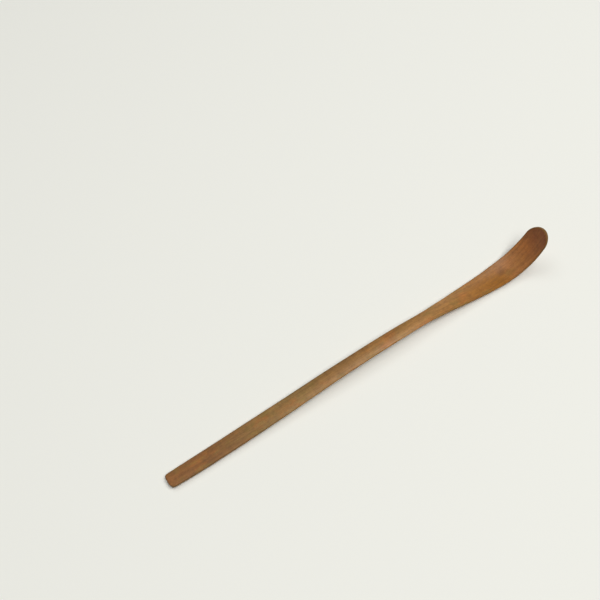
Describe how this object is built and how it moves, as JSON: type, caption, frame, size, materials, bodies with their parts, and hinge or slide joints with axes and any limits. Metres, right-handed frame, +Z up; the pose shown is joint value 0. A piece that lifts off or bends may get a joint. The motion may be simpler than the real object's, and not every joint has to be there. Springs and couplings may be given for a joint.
{
  "type": "tea scoop",
  "caption": "Slender wooden scoop for powdered tea, with a low arched shaft, a narrow neck and a shallow bowl that turns up to a rounded tip.",
  "frame": {"origin": "middle of the bottom of the bounding box, on the surface that the scoop lies on", "axes": "+X from the cut heel to the turned-up tip, +Y across the scoop, +Z up from the surface it lies on"},
  "size_m": [0.1837, 0.0112, 0.0181],
  "materials": {
    "wood": "hand-rubbed satin, warm brown"
  },
  "bodies": {
    "root": {"tea_scoop": "wood"}
  },
  "joints": []
}
